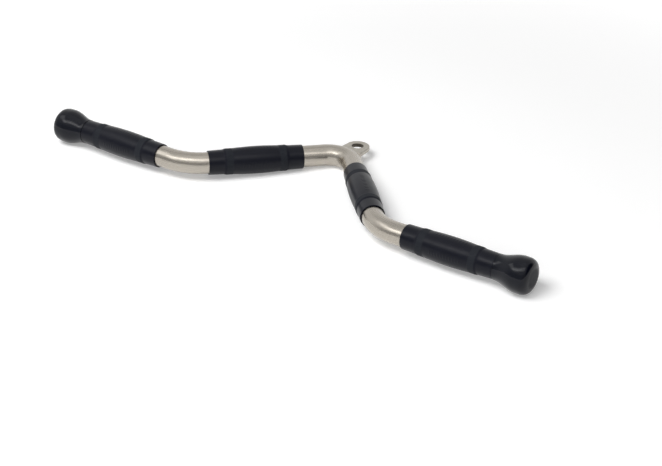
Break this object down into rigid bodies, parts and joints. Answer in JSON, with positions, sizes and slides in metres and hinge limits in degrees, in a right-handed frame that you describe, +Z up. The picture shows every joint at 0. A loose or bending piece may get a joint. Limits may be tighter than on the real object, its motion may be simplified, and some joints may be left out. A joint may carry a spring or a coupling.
{
  "type": "cable machine handle",
  "caption": "V-shaped steel pull-down and rowing handle for a cable machine: a bent tube with a welded eye plate at the point of the V, rubber grips on its arms and rubber knobs on its ends.",
  "frame": {"origin": "middle of the bottom of the box round the handle as it lies on a floor, on its two end knobs and its inner grips", "axes": "+X along the handle towards its right end, +Y towards the eye plate, +Z up. The plane of the bent tube leans 3.3 degrees about X, eye plate low."},
  "size_m": [0.6524, 0.1976, 0.0411],
  "materials": {
    "bar_nickel": "satin nickel plating over finely brushed steel",
    "plate_nickel": "matte nickel plating over flat steel plate",
    "weld_nickel": "plated weld bead, slightly brown",
    "grip_rubber": "moulded black rubber, smooth collars and a textured middle",
    "knob_rubber": "smooth moulded black rubber, half gloss",
    "plug_plastic": "black moulded plastic"
  },
  "bodies": {
    "root": {"bar_tube": "bar_nickel", "hanger_eye": "plate_nickel", "eye_weld": "weld_nickel", "grip_inner_left": "grip_rubber", "grip_inner_right": "grip_rubber", "grip_outer_left": "grip_rubber", "grip_outer_right": "grip_rubber", "end_knob_left": "knob_rubber", "end_knob_right": "knob_rubber", "tube_end_plug_left": "plug_plastic", "tube_end_plug_right": "plug_plastic"}
  },
  "joints": []
}
